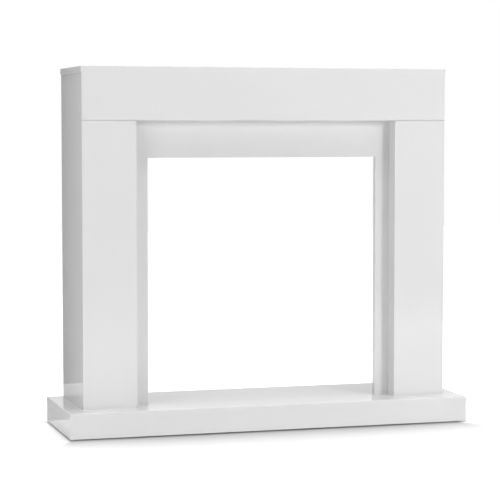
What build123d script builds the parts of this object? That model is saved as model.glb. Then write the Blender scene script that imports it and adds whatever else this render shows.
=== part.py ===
from build123d import *
import os

# Free-standing white fireplace surround with an open hearth
# Millimetres, +Z up, front towards -Y, origin on the floor at the middle of the plan

# Overall sizes
OVERALL_WIDTH = 1096.0
OVERALL_DEPTH = 330.0
OVERALL_HEIGHT = 960.0
BODY_WIDTH = 1004.0
HEARTH_HEIGHT = 70.0
MANTEL_HEIGHT = 140.0
PILLAR_WIDTH = 144.0
PILLAR_SETBACK = 58.0
RECESS = 44.0
STILE_SHOWING = 40.0
HEADER_SHOWING = 98.0

# Boards
BOARD = 16.0
HEARTH_OVERHANG = 1.0
MANTEL_OVERHANG = 2.0
CORNER_RADIUS = 1.5
EASED_EDGE = 0.6
SEAM_WIDTH = 1.4
SEAM_DEPTH = 3.6
RAIL_HEIGHT = 60.0
RIB_SPACING = 300.0
MANTEL_RIB_SPACING = 400.0

# Glue blocks and battens
BLOCK_LEG = 28.0
BLOCK_GAP = 4.0
BATTEN_GAP = 4.0
BATTEN = RECESS - BOARD - BATTEN_GAP
BATTEN_END_GAP = 45.0

# Floor glides
GLIDE_HEIGHT = 4.0
GLIDE_MARGIN = 1.0
GLIDE_RADIUS = BOARD / 2 - GLIDE_MARGIN
GLIDE_EDGE = 1.2
GLIDE_PIN_RADIUS = 1.4
GLIDE_PIN_LENGTH = 14.0
GLIDE_INSET = 30.0

# Dowels
DOWEL_RADIUS = 4.0
DOWEL_LENGTH = 30.0
DOWEL_CHAMFER = 0.8
DOWEL_SKIN = 5.0
DOWEL_END_GAP = 1.0
DOWEL_IN_FACE = BOARD - DOWEL_SKIN - DOWEL_END_GAP
DOWEL_IN_EDGE = DOWEL_LENGTH / 2
DOWEL_INSET = 36.0

# Cam fittings
CAM_RADIUS = 7.5
CAM_SKIN = 3.8
CAM_SUNK = 0.2
CAM_LENGTH = BOARD - CAM_SKIN - CAM_SUNK
CAM_SETBACK = 24.0
CAM_ECCENTRICITY = 1.0
CAM_DRIVE_LENGTH = 7.0
CAM_DRIVE_WIDTH = 1.6
CAM_DRIVE_DEPTH = 2.6
HEADER_CAM_INSET = 108.0
BOLT_HEAD_RADIUS = 3.0
BOLT_HEAD_OFFSET = 0.6
BOLT_NECK_RADIUS = 1.8
BOLT_SHANK_RADIUS = 3.0
BOLT_SKIN = 5.0
BOLT_SEAT = BOARD - BOLT_SKIN
BOLT_POINT = 1.0
BOLT_PASSAGE_RADIUS = 4.0

# Screws
SCREW_RADIUS = 2.0
SCREW_HEAD_RADIUS = 4.0
SCREW_HEAD_HEIGHT = 2.4
SCREW_POINT = 5.0
STILE_SCREW_LENGTH = 35.0
BRACKET_SCREW_LENGTH = 14.0
STILE_SCREW_SPACING = 260.0
STILE_SCREW_COUNT = 3

# Wall brackets
BRACKET_WIDTH = 30.0
BRACKET_LEG = 42.0
BRACKET_THICKNESS = 2.5
BRACKET_BEND = 3.0
BRACKET_CORNER = 6.0
BRACKET_SPACING = 440.0
WALL_HOLE_RADIUS = 2.75
BRACKET_SCREW_INSET = 12.0
BRACKET_SCREW_PITCH = 18.0

# Clearances
DOWEL_FIT = 0.05
CAM_FIT = 0.06
SCREW_FIT = 0.05
LOCKED_PLAY = 0.1
HEAD_PLAY = 0.4
NECK_PLAY = 0.2
SHANK_PLAY = 0.7

# Places that follow from the sizes
BACK = OVERALL_DEPTH / 2
HEARTH_EDGE = -OVERALL_DEPTH / 2
HEARTH_FRONT = HEARTH_EDGE + HEARTH_OVERHANG
HEARTH_HALF = OVERALL_WIDTH / 2 - HEARTH_OVERHANG
HEARTH_UNDERSIDE = HEARTH_HEIGHT - BOARD
BODY_HALF = BODY_WIDTH / 2
BODY_FRONT = HEARTH_EDGE + PILLAR_SETBACK
SIDE_INNER = BODY_HALF - BOARD
RETURN_FACE = BODY_HALF - PILLAR_WIDTH
OPENING_HALF = RETURN_FACE - STILE_SHOWING
STILE_EDGE = RETURN_FACE + BOARD + BATTEN + BOARD
STILE_MIDDLE = (OPENING_HALF + STILE_EDGE) / 2
STILE_FRONT = BODY_FRONT + RECESS
STILE_BACK = STILE_FRONT + BOARD
STILE_CORE = STILE_FRONT + BOARD / 2
FRONT_CORE = BODY_FRONT + BOARD / 2
SIDE_CORE = BODY_HALF - BOARD / 2
MANTEL_UNDERSIDE = OVERALL_HEIGHT - MANTEL_HEIGHT
SHELF_UNDERSIDE = OVERALL_HEIGHT - BOARD
OPENING_TOP = MANTEL_UNDERSIDE - HEADER_SHOWING
BATTEN_MIDDLE = RETURN_FACE + BOARD + BATTEN / 2
CAM_BORE_DEPTH = CAM_LENGTH + CAM_SUNK
CAM_HOLLOW_RADIUS = BOLT_HEAD_RADIUS + BOLT_HEAD_OFFSET + CAM_ECCENTRICITY + LOCKED_PLAY
BOLT_SHANK_START = CAM_RADIUS + SHANK_PLAY

# Cylinders that start or end at their place
ABOVE = (Align.CENTER, Align.CENTER, Align.MIN)
BELOW = (Align.CENTER, Align.CENTER, Align.MAX)


def board(x, y, z):
    """Board between a low and a high limit on each axis."""
    centre = [(low + high) / 2 for low, high in (x, y, z)]
    size = [high - low for low, high in (x, y, z)]
    return Pos(*centre) * Box(*size)


def right_hand(piece):
    """The same piece on the other side of the middle."""
    return mirror(piece, about=Plane.YZ)


def folded_boards(x_low, x_high, front, back_low, back_high, z_low, z_high):
    """Front board and its two returns, mitred at 45 degrees where they meet.

    All three are cut from one folded section, so that the mitre faces match and
    the rounding of each outer corner runs across its joint.
    """
    outline = Polyline(
        (x_low, back_low),
        (x_low, front),
        (x_high, front),
        (x_high, back_high),
        (x_high - BOARD, back_high),
        (x_high - BOARD, front + BOARD),
        (x_low + BOARD, front + BOARD),
        (x_low + BOARD, back_low),
        close=True,
    )
    folded = Pos(0, 0, z_low) * extrude(make_face(outline), z_high - z_low)
    corners = folded.edges().filter_by(Axis.Z).group_by(Axis.Y)[0]
    folded = fillet(corners, CORNER_RADIUS)
    middle = Plane(((x_low + x_high) / 2, 0, 0), z_dir=(1, 0, 0))
    low_mitre = Plane((x_low, front, 0), z_dir=(1, -1, 0))
    high_mitre = Plane((x_high, front, 0), z_dir=(-1, -1, 0))
    low_return = split(split(folded, middle, Keep.BOTTOM), low_mitre, Keep.BOTTOM)
    high_return = split(split(folded, middle, Keep.TOP), high_mitre, Keep.BOTTOM)
    front_board = folded - low_return - high_return
    return front_board, low_return, high_return


def top_board(half_width, front, z_low, z_high):
    """Board with its front, its ends and its top arrises rounded."""
    slab = board((-half_width, half_width), (front, BACK), (z_low, z_high))
    corners = slab.edges().filter_by(Axis.Z).group_by(Axis.Y)[0]
    slab = fillet(corners, CORNER_RADIUS)
    rim = slab.faces().sort_by(Axis.Z)[-1].edges()
    showing = [edge for edge in rim if edge.center().Y < BACK - CORNER_RADIUS]
    return fillet(showing, CORNER_RADIUS)


def shadow_gaps():
    """Narrow gaps between the mantel and the fronts of the two pillars."""
    level = (MANTEL_UNDERSIDE - SEAM_WIDTH / 2, MANTEL_UNDERSIDE + SEAM_WIDTH / 2)
    left = board((-BODY_HALF, -RETURN_FACE), (BODY_FRONT, BODY_FRONT + SEAM_DEPTH), level)
    return [left, right_hand(left)]


def corner_block(x, y, towards_x, towards_y, z_low, z_high):
    """Triangular glue block in the corner of two boards."""
    triangle = Polyline(
        (x, y),
        (x + towards_x * BLOCK_LEG, y),
        (x, y + towards_y * BLOCK_LEG),
        close=True,
    )
    return Pos(0, 0, z_low) * extrude(make_face(triangle), z_high - z_low)


def turned(profile):
    """Solid of revolution from (along, radius) points round the local X axis."""
    return revolve(make_face(Polyline(*profile, close=True)), Axis.X)


def dowel_place(point, direction, depth):
    """Middle of a dowel that goes a depth past a joint in one direction."""
    return Plane(point, z_dir=direction) * Pos(0, 0, depth - DOWEL_LENGTH / 2)


def dowels(places):
    """Chamfered beech dowels."""
    peg = Cylinder(DOWEL_RADIUS, DOWEL_LENGTH)
    peg = chamfer(peg.edges().filter_by(GeomType.CIRCLE), DOWEL_CHAMFER)
    return [place * peg for place in places]


def dowel_holes(places):
    """Holes that are drilled through both boards of each dowel joint."""
    drill = Cylinder(DOWEL_RADIUS + DOWEL_FIT, DOWEL_LENGTH + 2 * DOWEL_END_GAP)
    return [place * drill for place in places]


def both_sides(points):
    """Points with their reflections on the other side of the middle."""
    return points + [(-x, y, z) for x, y, z in points]


def cam_disc():
    """Eccentric cam: solid driven face over a hollow that draws the bolt's head in.

    The disc's face is at Z = 0 and the locked bolt lies along +X. The hollow is a
    round pocket set off the axis, so its wall closes on the head as the disc turns.
    """
    core = BOARD / 2 - CAM_SUNK
    entry_radius = BOLT_HEAD_RADIUS + HEAD_PLAY
    hollow_depth = CAM_LENGTH - core + entry_radius
    disc = Cylinder(CAM_RADIUS, CAM_LENGTH, align=BELOW)
    hollow = Cylinder(CAM_HOLLOW_RADIUS, hollow_depth, align=ABOVE)
    disc -= Pos(-CAM_ECCENTRICITY, 0, -CAM_LENGTH) * hollow
    slot = 2 * (BOLT_NECK_RADIUS + NECK_PLAY)
    turn_side = (Align.CENTER, Align.MAX, Align.CENTER)
    lock_side = (Align.MIN, Align.CENTER, Align.CENTER)
    travel = Box(2 * CAM_RADIUS, CAM_RADIUS, slot, align=turn_side)
    locked = Box(CAM_RADIUS, slot, slot, align=lock_side)
    entry = Plane((0, 0, 0), z_dir=(-1, 0, 0)) * Cylinder(entry_radius, CAM_RADIUS, align=ABOVE)
    disc -= [Pos(0, 0, -core) * cut for cut in (travel, locked, entry)]
    bar = Box(CAM_DRIVE_LENGTH, CAM_DRIVE_WIDTH, CAM_DRIVE_DEPTH, align=BELOW)
    return disc - [bar, Rot(0, 0, 90) * bar]


def cam_bolt():
    """Ball-headed bolt along +X from the cam's axis into the next board."""
    joint = CAM_SETBACK
    end = joint + BOLT_SEAT
    stem = turned(
        [
            (BOLT_HEAD_OFFSET, 0),
            (BOLT_HEAD_OFFSET, BOLT_NECK_RADIUS),
            (BOLT_SHANK_START, BOLT_NECK_RADIUS),
            (BOLT_SHANK_START, BOLT_SHANK_RADIUS),
            (end - BOLT_POINT, BOLT_SHANK_RADIUS),
            (end, BOLT_SHANK_RADIUS - BOLT_POINT),
            (end, 0),
        ]
    )
    head = Pos(BOLT_HEAD_OFFSET, 0, 0) * Sphere(BOLT_HEAD_RADIUS)
    return Pos(0, 0, -BOARD / 2) * (stem + head)


def cam_bore():
    """Round pocket for the cam with the bolt's passage to the board's edge."""
    pocket = Cylinder(CAM_RADIUS + CAM_FIT, CAM_BORE_DEPTH, align=BELOW)
    core = Plane((0, 0, -BOARD / 2), z_dir=(1, 0, 0))
    passage = core * Cylinder(BOLT_PASSAGE_RADIUS, CAM_SETBACK, align=ABOVE)
    return pocket + passage


def bolt_seat():
    """Hole for the bolt's threaded end in the board that the cam draws on."""
    place = Plane((CAM_SETBACK, 0, -BOARD / 2), z_dir=(1, 0, 0))
    return place * Cylinder(BOLT_SHANK_RADIUS + DOWEL_FIT, BOLT_SEAT, align=ABOVE)


def screw(length):
    """Countersunk screw along +X with its flat head at X = 0."""
    return turned(
        [
            (0, 0),
            (0, SCREW_HEAD_RADIUS),
            (SCREW_HEAD_HEIGHT, SCREW_RADIUS),
            (length - SCREW_POINT, SCREW_RADIUS),
            (length, 0),
        ]
    )


def screw_hole(length):
    """Countersunk hole round a screw."""
    radius = SCREW_RADIUS + SCREW_FIT
    return turned(
        [
            (0, 0),
            (0, SCREW_HEAD_RADIUS + SCREW_FIT),
            (SCREW_HEAD_HEIGHT, radius),
            (length, radius),
            (length, 0),
        ]
    )


def floor_glide():
    """Round glide with a nail, its foot on the floor and the nail up in the board."""
    return Rot(0, -90, 0) * turned(
        [
            (0, 0),
            (0, GLIDE_RADIUS - GLIDE_EDGE),
            (GLIDE_EDGE, GLIDE_RADIUS),
            (GLIDE_HEIGHT, GLIDE_RADIUS),
            (GLIDE_HEIGHT, GLIDE_PIN_RADIUS),
            (GLIDE_HEIGHT + GLIDE_PIN_LENGTH, GLIDE_PIN_RADIUS),
            (GLIDE_HEIGHT + GLIDE_PIN_LENGTH, 0),
        ]
    )


def glide_hole():
    """Hole for the glide's nail."""
    radius = GLIDE_PIN_RADIUS + SCREW_FIT
    return Pos(0, 0, GLIDE_HEIGHT) * Cylinder(radius, GLIDE_PIN_LENGTH, align=ABOVE)


def wall_bracket(x):
    """Bent steel angle with one leg under the mantel and one leg against the wall."""
    outline = Polyline(
        (BACK - BRACKET_LEG, MANTEL_UNDERSIDE),
        (BACK, MANTEL_UNDERSIDE),
        (BACK, MANTEL_UNDERSIDE - BRACKET_LEG),
        (BACK - BRACKET_THICKNESS, MANTEL_UNDERSIDE - BRACKET_LEG),
        (BACK - BRACKET_THICKNESS, MANTEL_UNDERSIDE - BRACKET_THICKNESS),
        (BACK - BRACKET_LEG, MANTEL_UNDERSIDE - BRACKET_THICKNESS),
        close=True,
    )
    start = x - BRACKET_WIDTH / 2
    section = Plane((start, 0, 0), x_dir=(0, 1, 0), z_dir=(1, 0, 0)) * make_face(outline)
    angle = extrude(section, BRACKET_WIDTH)
    bends = angle.edges().filter_by(Axis.X)
    outer_bend = bends.sort_by(Axis.Z)[-2:].sort_by(Axis.Y)[-1]
    angle = fillet(outer_bend, BRACKET_BEND)
    tips = angle.edges().filter_by(Axis.Z).group_by(Axis.Y)[0]
    tips += angle.edges().filter_by(Axis.Y).group_by(Axis.Z)[0]
    angle = fillet(tips, BRACKET_CORNER)
    holes = [place * screw_hole(BRACKET_SCREW_LENGTH) for place in bracket_screw_places(x)]
    wall_hole = Plane(wall_point(x), z_dir=(0, -1, 0))
    drill = Cylinder(WALL_HOLE_RADIUS, 2 * BRACKET_THICKNESS)
    return angle - holes - wall_hole * drill


def wall_point(x):
    """Middle of a bracket's wall hole on the wall plane."""
    return (x, BACK, MANTEL_UNDERSIDE - BRACKET_LEG + BRACKET_SCREW_INSET)


def bracket_screw_places(x):
    """Places of the screws that hold a bracket under the mantel, pointing up."""
    height = MANTEL_UNDERSIDE - BRACKET_THICKNESS
    first = BACK - BRACKET_LEG + BRACKET_SCREW_INSET / 2
    rows = [first, first + BRACKET_SCREW_PITCH]
    return [Plane((x, y, height), x_dir=(0, 0, 1), z_dir=(1, 0, 0)) for y in rows]


def stile_screw_places(x):
    """Places of the screws from the back of a stile into its batten."""
    middle = (HEARTH_HEIGHT + MANTEL_UNDERSIDE) / 2
    steps = [step - (STILE_SCREW_COUNT - 1) / 2 for step in range(STILE_SCREW_COUNT)]
    heights = [middle + step * STILE_SCREW_SPACING for step in steps]
    return [Plane((x, STILE_BACK, z), x_dir=(0, -1, 0), z_dir=(1, 0, 0)) for z in heights]


def cam_places():
    """Place of each cam: origin on the bored face, Z out of it and X along the bolt."""
    up = (0, 0, 1)
    down = (0, 0, -1)
    outward = (0, 1, 0)
    foot = HEARTH_HEIGHT + CAM_SETBACK
    header = MANTEL_UNDERSIDE - CAM_SETBACK
    head = SHELF_UNDERSIDE - CAM_SETBACK
    header_x = OPENING_HALF - HEADER_CAM_INSET
    side_y = (STILE_BACK + BACK) / 2
    places = {}
    for side, sign in (("left", -1), ("right", 1)):
        inward = (-sign, 0, 0)
        stile = (sign * STILE_MIDDLE, STILE_BACK, foot)
        places[f"cam_{side}_stile_foot"] = Plane(stile, x_dir=down, z_dir=outward)
        header_point = (sign * header_x, STILE_BACK, header)
        places[f"cam_{side}_header"] = Plane(header_point, x_dir=up, z_dir=outward)
        side_foot = (sign * SIDE_INNER, side_y, foot)
        places[f"cam_{side}_panel_foot"] = Plane(side_foot, x_dir=down, z_dir=inward)
        side_head = (sign * SIDE_INNER, side_y, head)
        places[f"cam_{side}_panel_head"] = Plane(side_head, x_dir=up, z_dir=inward)
    return places


def pillar_foot_dowels():
    """Dowels from the pillar fronts and side panels down into the hearth board."""
    fronts = [
        (BODY_HALF - DOWEL_INSET, FRONT_CORE, HEARTH_HEIGHT),
        (RETURN_FACE + DOWEL_INSET, FRONT_CORE, HEARTH_HEIGHT),
    ]
    sides = [
        (SIDE_CORE, STILE_CORE, HEARTH_HEIGHT),
        (SIDE_CORE, BACK - DOWEL_INSET, HEARTH_HEIGHT),
    ]
    points = both_sides(fronts + sides)
    return [dowel_place(point, (0, 0, -1), DOWEL_IN_FACE) for point in points]


def pillar_head_dowels():
    """Dowels from the pillar fronts up into the bottom edge of the mantel's front."""
    fronts = [
        (BODY_HALF - DOWEL_INSET, FRONT_CORE, MANTEL_UNDERSIDE),
        (RETURN_FACE + DOWEL_INSET, FRONT_CORE, MANTEL_UNDERSIDE),
    ]
    points = both_sides(fronts)
    return [dowel_place(point, (0, 0, 1), DOWEL_IN_EDGE) for point in points]


def stile_head_dowels():
    """Dowels from the stiles up into the mantel's bottom board."""
    points = both_sides([(STILE_MIDDLE, STILE_CORE, MANTEL_UNDERSIDE)])
    return [dowel_place(point, (0, 0, 1), DOWEL_IN_FACE) for point in points]


def header_dowels():
    """Dowels between the ends of the header and the edges of the stiles."""
    middle = OPENING_TOP + HEADER_SHOWING / 2
    heights = [middle - DOWEL_INSET / 2, middle + DOWEL_INSET / 2]
    places = []
    for sign in (-1, 1):
        points = [(sign * OPENING_HALF, STILE_CORE, z) for z in heights]
        places += [dowel_place(point, (sign, 0, 0), DOWEL_IN_EDGE) for point in points]
    return places


def hearth_frame_dowels():
    """Dowels at both ends of the hearth's ribs and of its back rail."""
    height = (GLIDE_HEIGHT + HEARTH_UNDERSIDE) / 2
    inner_front = HEARTH_FRONT + BOARD
    inner_back = BACK - BOARD
    inner_end = HEARTH_HALF - BOARD
    rail_core = BACK - BOARD / 2
    places = []
    for x in (-RIB_SPACING, 0, RIB_SPACING):
        places.append(dowel_place((x, inner_front, height), (0, -1, 0), DOWEL_IN_FACE))
        places.append(dowel_place((x, inner_back, height), (0, 1, 0), DOWEL_IN_FACE))
    for sign in (-1, 1):
        place = dowel_place((sign * inner_end, rail_core, height), (sign, 0, 0), DOWEL_IN_FACE)
        places.append(place)
    return places


def mantel_frame_dowels():
    """Dowels at the ends of the mantel's bottom board, ribs and back rail."""
    bottom_core = MANTEL_UNDERSIDE + BOARD / 2
    rail_middle = SHELF_UNDERSIDE - RAIL_HEIGHT / 2
    rail_core = BACK - BOARD / 2
    inner_front = BODY_FRONT + BOARD
    places = []
    for sign in (-1, 1):
        out = (sign, 0, 0)
        rib = sign * MANTEL_RIB_SPACING / 2
        ends = [
            (sign * SIDE_INNER, STILE_CORE, bottom_core),
            (sign * SIDE_INNER, BACK - DOWEL_INSET, bottom_core),
            (sign * SIDE_INNER, rail_core, rail_middle),
        ]
        places += [dowel_place(point, out, DOWEL_IN_FACE) for point in ends]
        places.append(dowel_place((rib, inner_front, rail_middle), (0, -1, 0), DOWEL_IN_FACE))
        places.append(dowel_place((rib, BACK - BOARD, rail_middle), (0, 1, 0), DOWEL_IN_FACE))
    return places


def glide_places():
    """Middles of the glides under the hearth's ends and ribs."""
    end = HEARTH_HALF - BOARD / 2
    rows = (HEARTH_FRONT + GLIDE_INSET, BACK - GLIDE_INSET)
    columns = (-end, -RIB_SPACING, 0, RIB_SPACING, end)
    return [Pos(x, y, 0) for x in columns for y in rows]


def hearth():
    """Low plinth: mitred frame, ribs and rail under a lacquered top board."""
    level = (GLIDE_HEIGHT, HEARTH_UNDERSIDE)
    pieces = {}
    width = (-HEARTH_HALF, HEARTH_HALF)
    front, left, right = folded_boards(*width, HEARTH_FRONT, BACK, BACK, *level)
    inner = HEARTH_HALF - BOARD
    ribs = (HEARTH_FRONT + BOARD, BACK - BOARD)
    pieces["hearth_front_fascia"] = front
    pieces["hearth_left_end"] = left
    pieces["hearth_right_end"] = right
    pieces["hearth_back_rail"] = board((-inner, inner), (BACK - BOARD, BACK), level)
    rib_rows = (("left", -RIB_SPACING), ("centre", 0), ("right", RIB_SPACING))
    for name, x in rib_rows:
        pieces[f"hearth_{name}_rib"] = board((x - BOARD / 2, x + BOARD / 2), ribs, level)
    holes = dowel_holes(hearth_frame_dowels())
    holes += [place * glide_hole() for place in glide_places()]
    pieces = {name: piece - holes for name, piece in pieces.items()}
    half = OVERALL_WIDTH / 2
    pieces["hearth_top_board"] = top_board(half, HEARTH_EDGE, HEARTH_UNDERSIDE, HEARTH_HEIGHT)
    block_level = (GLIDE_HEIGHT + BLOCK_GAP, HEARTH_UNDERSIDE)
    blocks = []
    for sign in (-1, 1):
        blocks.append(corner_block(sign * inner, ribs[0], -sign, 1, *block_level))
        blocks.append(corner_block(sign * inner, ribs[1], -sign, -1, *block_level))
    pieces["hearth_corner_blocks"] = Compound(blocks)
    pieces["floor_glides"] = Compound([place * floor_glide() for place in glide_places()])
    return pieces


def left_pillar():
    """Pillar front, inner return and the part of the side panel beside them."""
    level = (HEARTH_HEIGHT, MANTEL_UNDERSIDE)
    width = (-BODY_HALF, -RETURN_FACE)
    front, side, inner = folded_boards(*width, BODY_FRONT, BACK, STILE_FRONT, *level)
    return front - shadow_gaps(), side, inner


def left_battens():
    """Batten behind the pillar's outer corner and the one that takes the stile's screws."""
    level = (HEARTH_HEIGHT + BATTEN_END_GAP, MANTEL_UNDERSIDE - BATTEN_END_GAP)
    inner_front = BODY_FRONT + BOARD
    corner = board((-SIDE_INNER, BATTEN - SIDE_INNER), (inner_front, inner_front + BATTEN), level)
    free_edge = corner.edges().filter_by(Axis.Z).group_by(Axis.Y)[-1].sort_by(Axis.X)[-1]
    corner = chamfer(free_edge, BATTEN / 2)
    face = -RETURN_FACE - BOARD
    strip = board((face - BATTEN, face), (STILE_FRONT - BATTEN, STILE_FRONT), level)
    holes = [place * screw_hole(STILE_SCREW_LENGTH) for place in stile_screw_places(-BATTEN_MIDDLE)]
    return corner, strip - holes


def left_stile():
    """Upright of the recessed frame, eased beside the opening and square beside the header."""
    width = (-STILE_EDGE, -OPENING_HALF)
    depth = (STILE_FRONT, STILE_BACK)
    upright = board(width, depth, (HEARTH_HEIGHT, OPENING_TOP))
    edge = upright.edges().filter_by(Axis.Z).group_by(Axis.Y)[0].sort_by(Axis.X)[-1]
    upright = chamfer(edge, EASED_EDGE)
    upright += board(width, depth, (OPENING_TOP, MANTEL_UNDERSIDE))
    holes = [place * screw_hole(STILE_SCREW_LENGTH) for place in stile_screw_places(-BATTEN_MIDDLE)]
    return upright - holes


def header_panel():
    """Board across the top of the opening, flush with the stiles and eased below."""
    level = (OPENING_TOP, MANTEL_UNDERSIDE)
    panel = board((-OPENING_HALF, OPENING_HALF), (STILE_FRONT, STILE_BACK), level)
    front = panel.faces().sort_by(Axis.Y)[0]
    lower = front.edges().filter_by(Axis.X).sort_by(Axis.Z)[0]
    return chamfer(lower, EASED_EDGE)


def body():
    """Pillars, recessed frame and mantel, before the fittings are drilled."""
    level = (MANTEL_UNDERSIDE, SHELF_UNDERSIDE)
    pieces = {}
    pillar_front, pillar_side, pillar_return = left_pillar()
    fascia, mantel_end, _ = folded_boards(-BODY_HALF, BODY_HALF, BODY_FRONT, BACK, BACK, *level)
    corner_batten, return_batten = left_battens()
    left = {
        "pillar_front": pillar_front,
        "pillar_return": pillar_return,
        "side_panel": pillar_side + mantel_end,
        "corner_batten": corner_batten,
        "return_batten": return_batten,
        "stile": left_stile(),
    }
    for name, piece in left.items():
        pieces[f"left_{name}"] = piece
        pieces[f"right_{name}"] = right_hand(piece)
    pieces["header_panel"] = header_panel()
    pieces["mantel_front_fascia"] = fascia - shadow_gaps()
    half = BODY_HALF + MANTEL_OVERHANG
    pieces["mantel_top_board"] = top_board(half, BODY_FRONT, SHELF_UNDERSIDE, OVERALL_HEIGHT)
    return pieces | mantel_inside()


def mantel_inside():
    """Bottom board, rail, ribs and glue blocks that the mantel's front hides."""
    floor = (MANTEL_UNDERSIDE, MANTEL_UNDERSIDE + BOARD)
    depth = (BODY_FRONT + BOARD, BACK)
    span = (-SIDE_INNER, SIDE_INNER)
    rail_level = (SHELF_UNDERSIDE - RAIL_HEIGHT, SHELF_UNDERSIDE)
    inside = (floor[1], SHELF_UNDERSIDE)
    pieces = {}
    bottom = board(span, depth, floor)
    for sign in (-1, 1):
        places = bracket_screw_places(sign * BRACKET_SPACING / 2)
        bottom -= [place * screw_hole(BRACKET_SCREW_LENGTH) for place in places]
    pieces["mantel_bottom_board"] = bottom
    pieces["mantel_back_rail"] = board(span, (BACK - BOARD, BACK), rail_level)
    blocks = []
    for side, sign in (("left", -1), ("right", 1)):
        x = sign * MANTEL_RIB_SPACING / 2
        thickness = (x - BOARD / 2, x + BOARD / 2)
        pieces[f"mantel_{side}_rib"] = board(thickness, (depth[0], BACK - BOARD), inside)
        blocks.append(corner_block(sign * SIDE_INNER, depth[0], -sign, 1, *inside))
        blocks.append(corner_block(sign * SIDE_INNER, BACK - BOARD, -sign, -1, *rail_level))
    pieces["mantel_corner_blocks"] = Compound(blocks)
    return pieces


def drilled(pieces):
    """The pieces with the holes of every dowel and cam joint that meets them."""
    joints = pillar_foot_dowels() + pillar_head_dowels() + stile_head_dowels()
    joints += header_dowels() + mantel_frame_dowels()
    holes = dowel_holes(joints)
    for place in cam_places().values():
        holes += [place * cam_bore(), place * bolt_seat()]
    return {name: piece - holes for name, piece in pieces.items()}


def fittings():
    """Cams, bolts, dowels, screws and wall brackets."""
    places = cam_places()
    sunk = Pos(0, 0, -CAM_SUNK)
    pieces = {name: place * sunk * cam_disc() for name, place in places.items()}
    pieces["cam_bolts"] = Compound([place * cam_bolt() for place in places.values()])
    pieces["pillar_foot_dowels"] = Compound(dowels(pillar_foot_dowels()))
    pieces["pillar_head_dowels"] = Compound(dowels(pillar_head_dowels() + stile_head_dowels()))
    pieces["header_dowels"] = Compound(dowels(header_dowels()))
    pieces["hearth_frame_dowels"] = Compound(dowels(hearth_frame_dowels()))
    pieces["mantel_frame_dowels"] = Compound(dowels(mantel_frame_dowels()))
    stile_screws = []
    bracket_screws = []
    for side, sign in (("left", -1), ("right", 1)):
        x = sign * BRACKET_SPACING / 2
        pieces[f"{side}_wall_bracket"] = wall_bracket(x)
        bracket_screws += [place * screw(BRACKET_SCREW_LENGTH) for place in bracket_screw_places(x)]
        places = stile_screw_places(sign * BATTEN_MIDDLE)
        stile_screws += [place * screw(STILE_SCREW_LENGTH) for place in places]
    pieces["stile_screws"] = Compound(stile_screws)
    pieces["bracket_screws"] = Compound(bracket_screws)
    return pieces


os.makedirs("parts", exist_ok=True)
boards = hearth() | body()
for name, piece in (drilled(boards) | fittings()).items():
    export_step(piece, f"parts/{name}.step")
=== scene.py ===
import math

import bpy
import numpy as np
from bpy.props import FloatProperty, FloatVectorProperty, IntProperty, PointerProperty
from bpy.types import Operator, Panel, PropertyGroup
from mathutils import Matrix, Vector


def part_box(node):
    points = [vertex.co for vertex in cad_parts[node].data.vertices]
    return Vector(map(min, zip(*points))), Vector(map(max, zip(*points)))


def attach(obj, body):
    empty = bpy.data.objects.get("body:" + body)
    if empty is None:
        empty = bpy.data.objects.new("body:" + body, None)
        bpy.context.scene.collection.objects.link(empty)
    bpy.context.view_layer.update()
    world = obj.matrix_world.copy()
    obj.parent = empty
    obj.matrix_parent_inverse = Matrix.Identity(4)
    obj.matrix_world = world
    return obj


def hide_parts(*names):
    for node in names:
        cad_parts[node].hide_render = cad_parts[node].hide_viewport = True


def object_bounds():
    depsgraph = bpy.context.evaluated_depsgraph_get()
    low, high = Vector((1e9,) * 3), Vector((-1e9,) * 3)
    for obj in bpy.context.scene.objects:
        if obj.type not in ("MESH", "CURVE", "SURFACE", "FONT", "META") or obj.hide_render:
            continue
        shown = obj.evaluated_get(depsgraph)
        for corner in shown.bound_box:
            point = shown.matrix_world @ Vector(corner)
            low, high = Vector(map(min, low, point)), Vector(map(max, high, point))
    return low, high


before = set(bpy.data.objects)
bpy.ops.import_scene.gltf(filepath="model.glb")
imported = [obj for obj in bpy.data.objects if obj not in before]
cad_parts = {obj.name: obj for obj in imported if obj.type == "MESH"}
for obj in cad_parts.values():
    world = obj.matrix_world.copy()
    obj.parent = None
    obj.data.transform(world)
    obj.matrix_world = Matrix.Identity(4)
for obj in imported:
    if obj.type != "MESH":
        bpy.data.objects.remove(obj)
CAD_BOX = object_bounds()

bl_info = {
    "name": "White fireplace surround",
    "version": (1, 0, 0),
    "blender": (4, 5, 0),
    "location": "3D View > Sidebar > Surround",
    "description": "Finishes, small fittings and studio stage of a white fireplace surround",
    "category": "Object",
}

CARCASS = "surround"
AXES = ("X", "Y", "Z")
SIDES = ("left", "right")
MILLIMETRE = 0.001
MICROMETRE = 0.000001
WHITE = (1.0, 1.0, 1.0, 1.0)
BLACK = (0.0, 0.0, 0.0, 1.0)

# Each lacquered board: the face that is hidden, then any sawn edge, as sides of its box
LACQUERED_BOARDS = {
    "hearth_top_board": ("-Z", "+Y"),
    "hearth_front_fascia": ("+Y",),
    "hearth_left_end": ("+X", "+Y"),
    "hearth_right_end": ("-X", "+Y"),
    "left_side_panel": ("+X", "+Y"),
    "right_side_panel": ("-X", "+Y"),
    "left_pillar_front": ("+Y",),
    "right_pillar_front": ("+Y",),
    "left_pillar_return": ("-X", "+Y"),
    "right_pillar_return": ("+X", "+Y"),
    "left_stile": ("+Y", "-X"),
    "right_stile": ("+Y", "+X"),
    "header_panel": ("+Y",),
    "mantel_front_fascia": ("+Y",),
    "mantel_top_board": ("-Z", "+Y"),
    "mantel_bottom_board": ("+Z", "+Y"),
}

# The board that each kind of cam is let into
CAM_BOARDS = {
    "stile_foot": "{side}_stile",
    "header": "header_panel",
    "panel_foot": "{side}_side_panel",
    "panel_head": "{side}_side_panel",
}

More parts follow.
